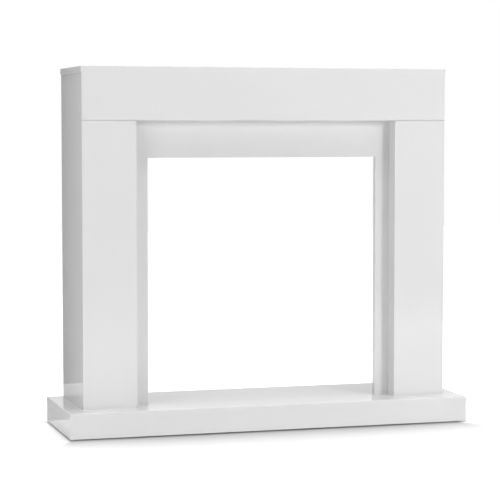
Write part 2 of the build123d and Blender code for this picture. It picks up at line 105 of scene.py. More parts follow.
BARE_BOARDS = (
    "hearth_back_rail",
    "hearth_left_rib",
    "hearth_centre_rib",
    "hearth_right_rib",
    "mantel_back_rail",
    "mantel_left_rib",
    "mantel_right_rib",
)
GLUE_BLOCKS = ("hearth_corner_blocks", "mantel_corner_blocks")
BATTENS = tuple(f"{side}_{edge}_batten" for edge in ("corner", "return") for side in SIDES)
DOWEL_JOINTS = ("pillar_foot", "pillar_head", "header", "hearth_frame", "mantel_frame")
DOWELS = tuple(f"{joint}_dowels" for joint in DOWEL_JOINTS)
BRACKETS = tuple(f"{side}_wall_bracket" for side in SIDES)

# Edges of the zones on a board, and the angle that stays sharp on a small fitting
FACE_MARGIN = 0.4 * MILLIMETRE
BORE_MARGIN = 0.1 * MILLIMETRE
SHARP_ANGLE = math.radians(35.0)

# The part of a noise's range that is used, and how far wood grain is drawn out
NOISE_MIDDLE = (0.3, 0.7)
GRAIN_STRETCH = 0.05

# Screws: grid, then shares of the pitch, the shank and the driver's recess
SCREW_COLUMNS = 48
FACE_ROWS = 18
FACE_START = 0.02
CONE_ROWS = 4
ROWS_TO_A_TURN = 9
RIDGE_STEEPNESS = 3.2
BLUNT_TIP = 0.03
RECESS_WALL = 0.2
RECESS_SLOPE = 0.55

# Cam pointers: grid, then shares of their length and width
POINTER_GRID = (40, 28)
POINTER_BARB = 0.42
POINTER_STEP = 0.03
POINTER_SHAFT = 0.17
POINTER_TIP = 0.02
POINTER_ROUNDING = 0.25

# Glue beads: grid, then waves and shares of the bead's size and length
GLUE_ROWS = 160
GLUE_ARC_ROWS = 8
GLUE_SEED = 11
GLUE_WAVES = (3, 7, 13, 29, 47)
GLUE_MEAN = 0.62
GLUE_SWELL = 0.16
GLUE_LIMITS = (0.12, 1.1)
GLUE_END = 0.012
GLUE_END_LIMITS = (0.05, 1.0)
GLUE_HOLLOW = 0.86
GLUE_HOLLOW_POWER = 1.5

# Stage
LAMPS = ("key", "left", "right", "top")
FLOOR_HALF = 9.0
FLOOR_GRID = (19, 19)
SHEET_GRID = (3, 3)
OVALS_TO_WHITE = 4.0
CARD_LIFT = 1.0 * MILLIMETRE
CARD_ENDS = (1.1, 3.0)
NET_HEIGHT = 40.0 * MILLIMETRE
NET_WEAVE = 900.0
NET_SHARES = (0.9, 1.1)
SENSOR_WIDTH = 36.0


def colour_property(name, description, default):
    """Colour of a material or of the floor."""
    return FloatVectorProperty(
        name=name, description=description, subtype="COLOR",
        size=3, min=0.0, max=1.0, default=default,
    )


def length_property(name, description, least, default):
    """Length, with its least value and its default in millimetres."""
    return FloatProperty(
        name=name, description=description, unit="LENGTH",
        min=least * MILLIMETRE, default=default * MILLIMETRE,
    )


def level_property(name, description, default, **options):
    """Number that isn't negative: a power, a brightness or a share."""
    return FloatProperty(name=name, description=description, min=0.0, default=default, **options)


def place_property(name, description, default):
    """Place on the stage, in metres."""
    return FloatVectorProperty(
        name=name, description=description, subtype="TRANSLATION", size=3, default=default,
    )


def lengths_property(name, description, default, **options):
    """Several lengths, in metres."""
    return FloatVectorProperty(
        name=name, description=description, unit="LENGTH",
        size=len(default), default=default, **options,
    )


class SurroundFinishes(PropertyGroup):
    """Colours and surfaces of the surround's materials."""

    lacquer_colour: colour_property("Lacquer", "White of the gloss lacquer", (0.80, 0.80, 0.80))
    lacquer_roughness: level_property(
        "Lacquer roughness", "How far the lacquer blurs a reflection",
        0.04, subtype="FACTOR", max=1.0,
    )
    lacquer_peel: level_property(
        "Orange peel", "Height of the ripple in the sprayed lacquer, in micrometres",
        0.9, max=20.0,
    )
    backing_colour: colour_property("Backing", "Matt foil on the hidden faces", (0.72, 0.72, 0.69))
    fibreboard_colour: colour_property("Fibreboard", "Sawn fibreboard", (0.47, 0.34, 0.22))
    softwood_colour: colour_property("Softwood", "Battens and glue blocks", (0.66, 0.48, 0.29))
    beech_colour: colour_property("Beech", "Dowels", (0.62, 0.43, 0.28))
    zinc_colour: colour_property("Cast zinc", "Cam discs", (0.58, 0.59, 0.60))
    steel_colour: colour_property("Plated steel", "Screws, bolts, brackets", (0.66, 0.66, 0.64))
    glide_colour: colour_property("Glide plastic", "Moulded floor glides", (0.78, 0.78, 0.76))
    glue_colour: colour_property("Dried glue", "Glue along the battens", (0.72, 0.64, 0.46))


class SurroundDetails(PropertyGroup):
    """Sizes of the small fittings and glue lines."""

    screw_head: length_property("Screw head", "Radius of a countersunk screw head", 1.0, 4.0)
    screw_head_height: length_property("Head height", "Depth of the countersunk head", 0.5, 2.4)
    screw_shank: length_property("Thread crest", "Radius over the screw's thread", 0.5, 2.0)
    screw_core: length_property("Thread root", "Radius at the root of the thread", 0.3, 1.35)
    screw_pitch: length_property("Thread pitch", "Advance of the thread in one turn", 0.5, 1.8)
    screw_point: length_property("Screw point", "Length of the tapered tip", 0.5, 5.0)
    recess_reach: length_property("Cross recess", "Reach of each arm of the cross", 0.5, 2.3)
    recess_width: length_property("Recess width", "Width of each arm of the cross", 0.2, 0.9)
    recess_depth: length_property("Recess depth", "Depth of the cross at its middle", 0.2, 1.5)
    stile_screws: IntProperty(
        name="Screws in a stile", description="Number of screws up each stile", min=2, default=3,
    )
    pointer_start: length_property("Pointer start", "Distance from the cam's axis", 0.0, 4.3)
    pointer_length: length_property("Pointer length", "Length of the arrow on a cam", 0.2, 2.6)
    pointer_width: length_property("Pointer width", "Width of the arrow's head", 0.2, 2.2)
    pointer_height: length_property("Pointer height", "How far the arrow stands out", 0.02, 0.18)
    glue_size: length_property("Glue bead", "Leg of the glue fillet along a batten", 0.2, 3.0)


class SurroundStage(PropertyGroup):
    """Camera, lights and floor."""

    camera_place: place_property(
        "Camera", "Where the camera stands", (-1.46036, -4.78936, 0.80195)
    )
    camera_turn: FloatProperty(
        name="Camera turn", description="Turn to the right of straight ahead",
        subtype="ANGLE", default=math.radians(16.751),
    )
    camera_dip: FloatProperty(
        name="Camera dip", description="Tilt below the horizon",
        subtype="ANGLE", default=math.radians(3.792),
    )
    camera_lens: FloatProperty(
        name="Lens", description="Focal length on a 36 mm frame, in millimetres",
        min=10.0, default=133.28,
    )
    floor_colour: colour_property("Floor", "Colour of the pale floor", (0.86, 0.86, 0.86))
    floor_lift: level_property(
        "Floor lift", "White that the floor shows where it is seen, over its own shade",
        0.18, max=1.0,
    )
    # The dim oval is partly painted shade before the hearth, and partly lets the floor's real
    # shading show there
    dim_place: place_property(
        "Dim floor", "Middle of the oval in which the floor shows least white", (0.0, -0.30, 0.0)
    )
    dim_reach: lengths_property(
        "Dim reach", "Half the width, depth and height of that oval", (0.315, 0.27, 1.0), min=0.01
    )
    # The contact shadow is painted: it darkens the floor's seen colour and white round the
    # hearth's box
    contact_depth: level_property(
        "Contact depth", "How much of the floor's light is lost where the hearth meets it",
        0.58, subtype="FACTOR", max=1.0,
    )
    contact_low: lengths_property(
        "Contact low", "Reach of the contact shadow to the left and the front", (0.006, 0.085)
    )
    contact_high: lengths_property(
        "Contact high", "Reach of the contact shadow to the right and the back", (0.010, 0.015)
    )
    contact_stop: lengths_property(
        "Contact stop", "How far short of the left and right ends the contact shadow fades",
        (0.002, 0.020),
    )
    contact_spread: level_property(
        "Contact spread", "How fast the ends of the contact shadow widen away from the hearth", 0.6
    )
    # The grey card glows and is seen only in gloss: a painted reflection on the left side and the
    # hearth's left end, brighter where it lies on the floor
    card_place: place_property(
        "Grey card", "Where the grey card that the left side mirrors stands on the floor",
        (-0.67, 0.88, 0.0),
    )
    card_size: lengths_property("Card size", "Width and height of the grey card", (0.45, 1.00))
    card_shades: FloatVectorProperty(
        name="Card shades", description="Brightness of the grey card on its right and its left",
        size=2, min=0.0, max=1.0, default=(0.20, 0.58),
    )
    card_foot: FloatVectorProperty(
        name="Card foot",
        description="How far the card lies out on the floor, and how much brighter it is there",
        size=2, min=0.0, default=(0.70, 0.48),
    )
    card_fade: length_property(
        "Card fade", "Width over which the grey card goes from one shade to the other", 1.0, 80.0
    )
    key_place: place_property("Key light", "Where the key softbox stands", (1.68, -2.9, 1.55))
    key_size: lengths_property("Key size", "Width and height of the key softbox", (0.6, 0.7))
    key_power: level_property("Key power", "Power of the key softbox, in watts", 32.0)
    left_place: place_property("Left light", "Where the left softbox stands", (-2.6, -2.0, 1.1))
    left_size: lengths_property("Left size", "Width and height of the left softbox", (1.8, 1.6))
    left_power: level_property("Left power", "Power of the left softbox, in watts", 25.5)
    right_place: place_property("Right light", "Where the right softbox stands", (2.4, -2.2, 0.8))
    right_size: lengths_property("Right size", "Width and height of the right softbox", (1.4, 0.9))
    right_power: level_property("Right power", "Power of the right softbox, in watts", 10.5)
    top_place: place_property("Top light", "Where the overhead softbox hangs", (0.0, -0.2, 3.2))
    top_size: lengths_property("Top size", "Width and depth of the overhead softbox", (3.4, 1.8))
    top_power: level_property("Top power", "Power of the overhead softbox, in watts", 96.0)
    net_pass: level_property(
        "Net", "Share of the overhead light that the net over the mantel lets through",
        0.45, subtype="FACTOR", max=1.0,
    )
    ambient: level_property("Room light", "Brightness of the room at the sides and above", 0.03)
    ambient_front: level_property(
        "Light in front", "What the room adds to its light straight in front", 0.06
    )
    ambient_back: level_property(
        "Light behind", "What the room adds to its light straight behind", 0.22
    )


def settings(context):
    """The three property groups: finishes, details, stage."""
    scene = context.scene
    return scene.surround_finishes, scene.surround_details, scene.surround_stage


# Shader nodes


def add_node(tree, kind, inputs=None, **options):
    """A shader node with its options set and each named input given a value or a link."""
    made = tree.nodes.new(kind)
    for option, value in options.items():
        setattr(made, option, value)
    for key, value in (inputs or {}).items():
        if isinstance(value, bpy.types.NodeSocket):
            tree.links.new(value, made.inputs[key])
        else:
            made.inputs[key].default_value = value
    return made


def calc(tree, operation, first, second):
    """Output of a math node on two values."""
    return add_node(tree, "ShaderNodeMath", {0: first, 1: second}, operation=operation).outputs[0]


def greatest(tree, values):
    """The greatest of several values: of masks, one where any of them is one."""
    first, *others = values
    for value in others:
        first = calc(tree, "MAXIMUM", first, value)
    return first


def vector_calc(tree, operation, first, second):
    """Output of a vector math node on two vectors."""
    inputs = {0: first, 1: second}
    return add_node(tree, "ShaderNodeVectorMath", inputs, operation=operation).outputs["Vector"]


def length_of(tree, vector):
    """Length of a vector."""
    return add_node(tree, "ShaderNodeVectorMath", {0: vector}, operation="LENGTH").outputs["Value"]


def value_between(tree, factor, low, high):
    """Value that goes from low to high with a factor."""
    inputs = {"Factor": factor, "A": low, "B": high}
    return add_node(tree, "ShaderNodeMix", inputs, data_type="FLOAT").outputs["Result"]


def colour_between(tree, factor, low, high):
    """Colour that goes from low to high with a factor."""
    inputs = {0: factor, 6: low, 7: high}
    return add_node(tree, "ShaderNodeMix", inputs, data_type="RGBA").outputs[2]


def value_over(tree, value, start, end, low, high, **options):
    """Value that goes from low to high while another goes from its start to its end."""
    inputs = {"Value": value, "From Min": start, "From Max": end, "To Min": low, "To Max": high}
    return add_node(tree, "ShaderNodeMapRange", inputs, **options).outputs[0]


def spread(tree, noise, low, high):
    """The middle of a noise stretched over the range from low to high."""
    return value_over(tree, noise, *NOISE_MIDDLE, low, high)


def grain(tree, place, scale, detail=2.0, roughness=0.5, stretch=None, distortion=0.0):
    """Noise in object space, with the number of cells to a metre and a stretch on each axis."""
    if stretch:
        mapping = add_node(tree, "ShaderNodeMapping", {"Vector": place, "Scale": stretch})
        place = mapping.outputs[0]
    inputs = {
        "Vector": place,
        "Scale": scale,
        "Detail": detail,
        "Roughness": roughness,
        "Distortion": distortion,
    }
    return add_node(tree, "ShaderNodeTexNoise", inputs).outputs["Fac"]


def relief(tree, noise, micrometres):
    """Height of a noise, in metres."""
    return calc(tree, "MULTIPLY", noise, micrometres * MICROMETRE)


def shade(colour, factor):
    """An RGBA colour that is lighter or darker than a property's colour."""
    return (*[min(1.0, channel * factor) for channel in colour], 1.0)


def clouded(tree, noise, colour, low, high):
    """Colour that goes from one shade of it to another with a noise."""
    share = spread(tree, noise, low=0.0, high=1.0)
    return colour_between(tree, share, shade(colour, low), shade(colour, high))


def blank(block):
    """A new material or world and its node tree, which is emptied."""
    block.use_nodes = True
    block.node_tree.nodes.clear()
    return block, block.node_tree


def object_place(tree):
    """A point's place in the object's own coordinates."""
    return add_node(tree, "ShaderNodeTexCoord").outputs["Object"]


def show(tree, shader):
    """Sends a shader to a material's surface."""
    add_node(tree, "ShaderNodeOutputMaterial", {"Surface": shader.outputs[0]})


def seen(tree):
    """One for rays that show the background: from the camera, in gloss or through glass."""
    path = add_node(tree, "ShaderNodeLightPath")
    kinds = ("Is Camera Ray", "Is Glossy Ray", "Is Transmission Ray")
    return greatest(tree, [path.outputs[kind] for kind in kinds])


def new_material(name):
    """A material, its node tree, its object coordinates and its surface shader."""
    material, tree = blank(bpy.data.materials.new(name))
    surface = add_node(tree, "ShaderNodeBsdfPrincipled")
    show(tree, surface)
    return material, tree, object_place(tree), surface


def finish_surface(tree, surface, colour, roughness, height, **constants):
    """Joins colour, roughness and a height in metres to the shader and sets its constants."""
    bump = add_node(tree, "ShaderNodeBump", {"Height": height, "Strength": 1.0, "Distance": 1.0})
    tree.links.new(colour, surface.inputs["Base Color"])
    tree.links.new(roughness, surface.inputs["Roughness"])
    tree.links.new(bump.outputs[0], surface.inputs["Normal"])
    for name, value in constants.items():
        surface.inputs[name].default_value = value


def fibreboard_layers(tree, place, finishes):
    """Colour, roughness and height of sawn fibreboard: fine fibres over soft blotches."""
    fibre = grain(tree, place, scale=1400.0, detail=3.0, roughness=0.7)
    blotch = grain(tree, place, scale=45.0)
    base = finishes.fibreboard_colour
    fine = clouded(tree, fibre, base, low=0.80, high=1.22)
    pale = spread(tree, blotch, low=0.0, high=0.35)
    colour = colour_between(tree, pale, fine, shade(base, factor=1.30))
    roughness = spread(tree, fibre, low=0.78, high=0.92)
    return colour, roughness, relief(tree, fibre, micrometres=60.0)


def backing_layers(tree, place, finishes):
    """Colour, roughness and height of the matt foil: a fine stipple with faint handling marks."""
    stipple = grain(tree, place, scale=1800.0, detail=1.0)
    marks = grain(tree, place, scale=9.0, detail=4.0, roughness=0.6)
    colour = clouded(tree, marks, finishes.backing_colour, low=0.97, high=1.03)
    roughness = spread(tree, marks, low=0.40, high=0.52)
    return colour, roughness, relief(tree, stipple, micrometres=9.0)


def lacquer_layers(tree, place, finishes):
    """Colour, roughness and height of sprayed gloss: fine orange peel over a slow ripple."""
    peel = grain(tree, place, scale=260.0, detail=1.0)
    ripple = grain(tree, place, scale=14.0, detail=1.0)
    cloud = grain(tree, place, scale=3.5)
    colour = clouded(tree, cloud, finishes.lacquer_colour, low=0.992, high=1.008)
    gloss = finishes.lacquer_roughness
    roughness = spread(tree, cloud, low=0.9 * gloss, high=1.1 * gloss)
    fine = relief(tree, peel, finishes.lacquer_peel)
    slow = relief(tree, ripple, 6.0 * finishes.lacquer_peel)
    return colour, roughness, calc(tree, "ADD", fine, slow)


def layered(tree, mask, under, over):
    """Colour, roughness and height that are those of another layer where a mask is one."""
    colour = colour_between(tree, mask, under[0], over[0])
    rest = [value_between(tree, mask, *pair) for pair in zip(under[1:], over[1:])]
    return colour, *rest


def face_mask(tree, axes, box, face):
    """One where a point is on a face of a board's box, such as -Z for the lowest."""
    sign, axis = face
    index = AXES.index(axis)
    if sign == "-":
        return calc(tree, "LESS_THAN", axes.outputs[axis], box[0][index] + FACE_MARGIN)
    return calc(tree, "GREATER_THAN", axes.outputs[axis], box[1][index] - FACE_MARGIN)


def bore_mask(tree, place, cam):
    """One inside the bore that a cam sits in: nearer to the cam's middle than its own corner."""
    low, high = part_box(cam)
    inputs = {0: place, 1: (low + high) / 2}
    distance = add_node(tree, "ShaderNodeVectorMath", inputs, operation="DISTANCE")
    along, _, across = sorted((high - low) / 2)
    reach = math.hypot(across, along) + BORE_MARGIN
    return calc(tree, "LESS_THAN", distance.outputs["Value"], reach)


def lacquered_board(name, hidden, sawn, cams, finishes):
    """Board material: gloss where it shows, matt foil on the hidden face, fibre on sawn edges."""
    material, tree, place, surface = new_material(f"white_lacquer_{name}")
    axes = add_node(tree, "ShaderNodeSeparateXYZ", {0: place})
    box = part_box(name)
    gloss = lacquer_layers(tree, place, finishes)
    foil = backing_layers(tree, place, finishes)
    layers = layered(tree, face_mask(tree, axes, box, hidden), gloss, foil)
    masks = [face_mask(tree, axes, box, edge) for edge in sawn]
    masks += [bore_mask(tree, place, cam) for cam in cams]
    if masks:
        fibre = fibreboard_layers(tree, place, finishes)
        layers = layered(tree, greatest(tree, masks), layers, fibre)
    finish_surface(tree, surface, *layers, IOR=1.5)
    return material


def bare_fibreboard(finishes):
    """Sawn and sanded fibreboard."""
    material, tree, place, surface = new_material("bare_fibreboard")
    finish_surface(tree, surface, *fibreboard_layers(tree, place, finishes), IOR=1.4)
    return material


def wood(name, colour, along, rings, contrast):
    """Planed wood: dark late rings stretched along the grain, with fine pores."""
    material, tree, place, surface = new_material(name)
    stretch = tuple(GRAIN_STRETCH if axis == along else 1.0 for axis in AXES)
    ring = grain(tree, place, scale=rings, stretch=stretch, distortion=0.6)
    pore = grain(tree, place, scale=2200.0, roughness=0.6, stretch=stretch)
    base = clouded(tree, ring, colour, low=1.0 + contrast, high=1.0 - contrast)
    deep = spread(tree, pore, low=0.0, high=0.3)
    shaded = colour_between(tree, deep, base, shade(colour, factor=0.72))
    roughness = spread(tree, ring, low=0.58, high=0.72)
    height = relief(tree, pore, micrometres=30.0)
    finish_surface(tree, surface, shaded, roughness, height, IOR=1.45)
    return material


def metal(name, colour, dark, smooth, rough, scale, height):
    """Metal: cloudy tint, roughness that follows the cloud, and a fine tumbled or plated skin."""
    material, tree, place, surface = new_material(name)
    cloud = grain(tree, place, scale=scale, detail=4.0, roughness=0.6)
    fine = grain(tree, place, scale=3000.0)
    tint = clouded(tree, cloud, colour, low=dark, high=1.05)
    roughness = spread(tree, cloud, low=rough, high=smooth)
    finish_surface(tree, surface, tint, roughness, relief(tree, fine, height), Metallic=1.0)
    return material


def moulded_plastic(finishes):
    """Moulded plastic with a fine spark-eroded texture and faint scuffs."""
    material, tree, place, surface = new_material("glide_plastic")
    texture = grain(tree, place, scale=2600.0)
    scuff = grain(tree, place, scale=240.0, detail=4.0, roughness=0.7)
    colour = clouded(tree, scuff, finishes.glide_colour, low=0.93, high=1.03)
    roughness = spread(tree, scuff, low=0.36, high=0.55)
    height = relief(tree, texture, micrometres=12.0)
    finish_surface(tree, surface, colour, roughness, height, IOR=1.49)
    return material


def dried_glue(finishes):
    """Dried wood glue: cloudy amber with small bubbles, under a skin."""
    material, tree, place, surface = new_material("dried_glue")
    cloud = grain(tree, place, scale=320.0, detail=3.0)
    bubble = grain(tree, place, scale=1500.0, detail=1.0)
    colour = clouded(tree, cloud, finishes.glue_colour, low=0.85, high=1.12)
    roughness = spread(tree, cloud, low=0.22, high=0.40)
    height = relief(tree, bubble, micrometres=40.0)
    finish_surface(tree, surface, colour, roughness, height, IOR=1.48)
    return material


def dress(node, material):
    """Puts a material in every slot of a CAD node."""
    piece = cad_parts[node]
    if not piece.material_slots:
        raise RuntimeError(f"{node} has no material slot")
    for slot in piece.material_slots:
        slot.material = material


# Numpy surfaces


def unit_grid(rows, columns, closed):
    """Two arrays over a grid: rows from 0 to 1, columns from 0 to 1 without the end if closed."""
    down = np.linspace(0.0, 1.0, rows)
    across = np.linspace(0.0, 1.0, columns, endpoint=not closed)
    return np.meshgrid(down, across, indexing="ij")


def grid_faces(rows, columns, closed):
    """Quads of a grid, which may close round its columns, as whole index arrays."""
    spans = columns if closed else columns - 1
    row, column = np.meshgrid(np.arange(rows - 1), np.arange(spans), indexing="ij")
    after = (column + 1) % columns
    corners = (
        row * columns + column,
        row * columns + after,
        (row + 1) * columns + after,
        (row + 1) * columns + column,
    )
    return np.stack(corners, axis=-1).reshape(-1, 4)


def closed_shell(points):
    """Vertices and faces of a tube of rings whose ends are closed by fans on their middles."""
    rows, columns, _ = points.shape
    ends = np.stack([points[0].mean(axis=0), points[-1].mean(axis=0)])
    vertices = np.concatenate([points.reshape(-1, 3), ends])
    column = np.arange(columns)
    after = (column + 1) % columns
    first = np.full(columns, rows * columns)
    last = first + 1
    bottom = (rows - 1) * columns
    opening = np.stack([first, after, column], axis=-1)
    closing = np.stack([last, bottom + column, bottom + after], axis=-1)
    return vertices, grid_faces(rows, columns, True), np.concatenate([opening, closing])


def joined_shells(shells):
    """One set of vertices and faces from several shells, with their indices moved along."""
    starts = np.cumsum([0] + [len(shell[0]) for shell in shells[:-1]])
    vertices = np.concatenate([shell[0] for shell in shells])
    quads = np.concatenate([shell[1] + start for shell, start in zip(shells, starts)])
    triangles = np.concatenate([shell[2] + start for shell, start in zip(shells, starts)])
    return vertices, quads, triangles


def mesh_object(name, vertices, faces, material):
    """Mesh object in the scene, with one material."""
    mesh = bpy.data.meshes.new(name)
    mesh.from_pydata(vertices.tolist(), [], faces)
    mesh.materials.append(material)
    piece = bpy.data.objects.new(name, mesh)
    bpy.context.scene.collection.objects.link(piece)
    return piece


def surface_piece(name, shell, material, body):
    """Mesh object of a shell with smooth faces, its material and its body."""
    vertices, quads, triangles = shell
    piece = mesh_object(name, vertices, quads.tolist() + triangles.tolist(), material)
    mesh = piece.data
    mesh.polygons.foreach_set("use_smooth", np.ones(len(mesh.polygons), bool))
    mesh.set_sharp_from_angle(angle=SHARP_ANGLE)
    if mesh.validate():
        raise RuntimeError(f"{name} has faces that Blender had to remove")
    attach(piece, body)
    return piece


def placed(points, origin, along, up):
    """Points with local X along one direction, local Z along another, moved to an origin."""
    along, up = np.array(along, float), np.array(up, float)
    basis = np.stack([along, np.cross(up, along), up])
    return points @ basis + np.array(origin, float)


def screw_shell(length, details):
    """Countersunk screw along local X with its flat head at zero.

    A point at arc position s and angle a lies at radius r(s) round the axis. Over the
    head r grows from the middle to the rim, and the face sinks by the cross: full depth
    where the smaller of |y| and |z| is under half the arm's width and the larger is
    within its reach. Along the shank r is the root plus a ridge that is highest where
    s over the pitch and a over a turn differ by a whole number.
    """
    head, core, crest = details.screw_head, details.screw_core, details.screw_shank
    cone_end, pitch = details.screw_head_height, details.screw_pitch
    turns = (length - cone_end) / pitch
    face = np.linspace(FACE_START, 1.0, FACE_ROWS) * head
    cone = np.linspace(0.0, 1.0, CONE_ROWS)[1:]
    shank = np.linspace(cone_end, length, int(turns * ROWS_TO_A_TURN))[1:]
    radius = np.concatenate([face, head + (core - head) * cone, np.full(len(shank), core)])
    along = np.concatenate([np.zeros(len(face)), cone_end * cone, shank])
    turn = np.linspace(0.0, 1.0, SCREW_COLUMNS, endpoint=False)
    radius, angle = np.meshgrid(radius, turn * math.tau, indexing="ij")
    along = np.repeat(along[:, None], SCREW_COLUMNS, axis=1)
    phase = (along - cone_end) / pitch - angle / math.tau
    ridge = np.clip(1.0 - RIDGE_STEEPNESS * np.abs(phase - np.round(phase)), 0.0, 1.0)
    started = np.clip((along - cone_end) / pitch, 0.0, 1.0)
    taper = np.clip((length - along) / details.screw_point, 0.0, 1.0)
    radius = radius + (crest - core) * ridge * started
    radius = np.where(along > cone_end, radius * np.maximum(taper, BLUNT_TIP), radius)
    y, z = radius * np.cos(angle), radius * np.sin(angle)
    thin = np.minimum(np.abs(y), np.abs(z))
    far = np.maximum(np.abs(y), np.abs(z))
    half, reach = details.recess_width / 2, details.recess_reach
    wall = np.clip((half - thin) / (RECESS_WALL * half), 0.0, 1.0)
    floor = np.clip((reach - far) / (RECESS_SLOPE * reach), 0.0, 1.0)
    sink = details.recess_depth * wall * floor * (along <= 0.0)
    return np.stack([along + sink, y, z], axis=-1)


def pointer_shell(details):
    """Raised arrow along local X on a face at zero height.

    At position t along it the half-width w is a narrow shaft up to the barb and then
    falls in a line to the tip. The section is a loop: y is w times the cosine of its
    angle, and z is the height times the fourth root of its sine, or zero underneath.
    """
    t, turn = unit_grid(*POINTER_GRID, True)
    flare = np.clip((t - POINTER_BARB + POINTER_STEP) / POINTER_STEP, 0.0, 1.0)
    shaft = POINTER_SHAFT + (1.0 - POINTER_SHAFT) * flare
    half = shaft * np.clip((1.0 - t) / (1.0 - POINTER_BARB), POINTER_TIP, 1.0)
    x = details.pointer_start + details.pointer_length * t
    y = half * details.pointer_width / 2 * np.cos(turn * math.tau)
    sine = np.clip(np.sin(turn * math.tau), 0.0, 1.0)
    z = details.pointer_height * sine**POINTER_ROUNDING
    return np.stack([x, y, z], axis=-1)


def glue_shell(start, end, first, second, size, seed):
    """Fillet of glue along a corner.

    At position t its leg is the bead's size times a sum of sines of t with seeded
    phases, drawn in at both ends. The section runs from the corner along one face,
    back over a hollow arc to the other face, and home.
    """
    phases = np.random.default_rng(seed).uniform(0.0, math.tau, len(GLUE_WAVES))
    t = np.linspace(0.0, 1.0, GLUE_ROWS)
    waves = [np.sin(math.tau * n * t + p) / n**0.5 for n, p in zip(GLUE_WAVES, phases)]
    ends = np.clip(np.minimum(t, 1.0 - t) / GLUE_END, *GLUE_END_LIMITS) ** 0.5
    leg = size * (GLUE_MEAN + GLUE_SWELL * np.stack(waves).sum(axis=0)) * ends
    leg = np.clip(leg, GLUE_LIMITS[0] * size, GLUE_LIMITS[1] * size)[:, None, None]
    arc = np.linspace(0.0, math.pi / 2, GLUE_ARC_ROWS)
    fall = 1.0 - GLUE_HOLLOW * np.sin(arc) ** GLUE_HOLLOW_POWER
    climb = 1.0 - GLUE_HOLLOW * np.cos(arc) ** GLUE_HOLLOW_POWER
    fall[[0, -1]] = 1.0, 0.0
    climb[[0, -1]] = 0.0, 1.0
    one = leg * np.concatenate([[0.0], fall])[None, :, None] * np.array(first, float)
    two = leg * np.concatenate([[0.0], climb])[None, :, None] * np.array(second, float)
    spine = np.array(start) + t[:, None] * (np.array(end) - np.array(start))
    return spine[:, None, :] + one + two


# Operators


class SURROUND_OT_lacquered_boards(Operator):
    """Gloss lacquer on the boards that show, with their foil backs and sawn edges"""

    bl_idname = "surround.lacquered_boards"
    bl_label = "Lacquered boards"

    def execute(self, context):
        finishes, _, _ = settings(context)
        let_in = {board: [] for board in LACQUERED_BOARDS}
        for side in SIDES:
            for kind, board in CAM_BOARDS.items():
                let_in[board.format(side=side)].append(f"cam_{side}_{kind}")
        for board, (hidden, *sawn) in LACQUERED_BOARDS.items():
            dress(board, lacquered_board(board, hidden, sawn, let_in[board], finishes))
        return {"FINISHED"}


class SURROUND_OT_bare_boards(Operator):
    """Bare fibreboard on the rails and ribs"""

    bl_idname = "surround.bare_boards"
    bl_label = "Bare rails and ribs"

    def execute(self, context):
        finishes, _, _ = settings(context)
        material = bare_fibreboard(finishes)
        for board in BARE_BOARDS:
            dress(board, material)
        return {"FINISHED"}


class SURROUND_OT_battens(Operator):
    """Softwood on the battens and glue blocks, and beech on the dowels"""

    bl_idname = "surround.battens"
    bl_label = "Battens, blocks and dowels"

    def execute(self, context):
        finishes, _, _ = settings(context)
        softwood = wood(
            "planed_softwood", finishes.softwood_colour, along="Z", rings=130.0, contrast=0.16
        )
        for piece in BATTENS + GLUE_BLOCKS:
            dress(piece, softwood)
        beech = wood("dowel_beech", finishes.beech_colour, along="Z", rings=420.0, contrast=0.07)
        for piece in DOWELS:
            dress(piece, beech)
        return {"FINISHED"}


class SURROUND_OT_glue_beads(Operator):
    """Dried glue along the two open sides of each corner batten"""

    bl_idname = "surround.glue_beads"
    bl_label = "Glue beads"

    def execute(self, context):
        finishes, details, _ = settings(context)
        material = dried_glue(finishes)
        for number, side in enumerate(SIDES):
            low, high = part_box(f"{side}_corner_batten")
            inward = 1.0 if side == "left" else -1.0
            outer, inner = (low.x, high.x) if side == "left" else (high.x, low.x)
            corners = {"front": (inner, low.y), "panel": (outer, high.y)}
            for step, (face, corner) in enumerate(corners.items()):
                ends = [(*corner, low.z), (*corner, high.z)]
                if side == "right":
                    ends.reverse()
                seed = GLUE_SEED + len(corners) * number + step
                bead = glue_shell(*ends, (inward, 0, 0), (0, 1, 0), details.glue_size, seed)
                name = f"{side}_batten_glue_{face}"
                surface_piece(name, closed_shell(bead), material, CARCASS)
        return {"FINISHED"}


class SURROUND_OT_cam_fittings(Operator):
    """Cast zinc on the cam discs, a raised pointer on each face, and plated cam bolts"""

    bl_idname = "surround.cam_fittings"
    bl_label = "Cam fittings"

    def execute(self, context):
        finishes, details, _ = settings(context)
        zinc = metal(
            "die_cast_zinc", finishes.zinc_colour,
            dark=0.78, smooth=0.30, rough=0.46, scale=500.0, height=14.0,
        )
        rubbed = metal(
            "rubbed_zinc", shade(finishes.zinc_colour, factor=1.4)[:3],
            dark=0.92, smooth=0.12, rough=0.20, scale=500.0, height=4.0,
        )
        steel = metal(
            "plated_steel", finishes.steel_colour,
            dark=0.86, smooth=0.20, rough=0.34, scale=260.0, height=5.0,
        )
        dress("cam_bolts", steel)
        for side in SIDES:
            for kind in CAM_BOARDS:
                self.cam(f"cam_{side}_{kind}", side, kind, zinc, rubbed, details)
        return {"FINISHED"}

    def cam(self, node, side, kind, zinc, rubbed, details):
        """Dresses a cam and sets its pointer on the face, towards the bolt's way in."""
        dress(node, zinc)
        low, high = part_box(node)
        middle = (low + high) / 2
        towards = (0, 0, 1) if kind.endswith("foot") else (0, 0, -1)
        if kind.startswith("panel"):
            outward = (1.0 if side == "left" else -1.0, 0, 0)
            origin = (high.x if side == "left" else low.x, middle.y, middle.z)
        else:
            outward = (0, 1, 0)
            origin = (middle.x, high.y, middle.z)
        shell = closed_shell(placed(pointer_shell(details), origin, towards, outward))
        surface_piece(f"{node}_pointer", shell, rubbed, f"{node}_disc")


